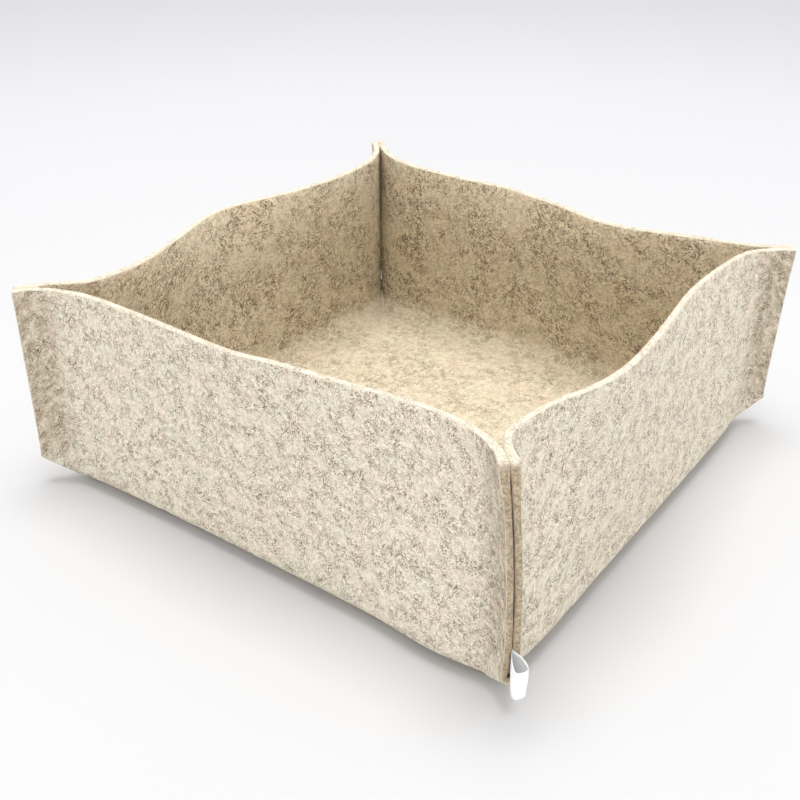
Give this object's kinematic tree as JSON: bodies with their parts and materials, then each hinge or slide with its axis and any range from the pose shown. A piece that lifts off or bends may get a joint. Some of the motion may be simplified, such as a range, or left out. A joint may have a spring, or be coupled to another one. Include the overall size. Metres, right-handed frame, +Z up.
{
  "type": "felt cat bed",
  "caption": "Open square cat bed of thick mottled wool felt, walls folded up from the base and sewn into fins at the corners, with a gently waving rim and a blank ribbon label.",
  "frame": {"origin": "on the ground, under the middle of the base", "axes": "+Z up out of the open top; -Y towards the front wall, +X towards the right wall, so the label hangs from the corner between them"},
  "size_m": [0.4409, 0.4427, 0.175],
  "materials": {
    "felt": "mottled cream and grey-brown pressed wool felt, matt, with raw cut edges",
    "ribbon": "plain white satin ribbon, soft sheen"
  },
  "bodies": {
    "root": {"felt_body": "felt", "label": "ribbon"}
  },
  "joints": []
}
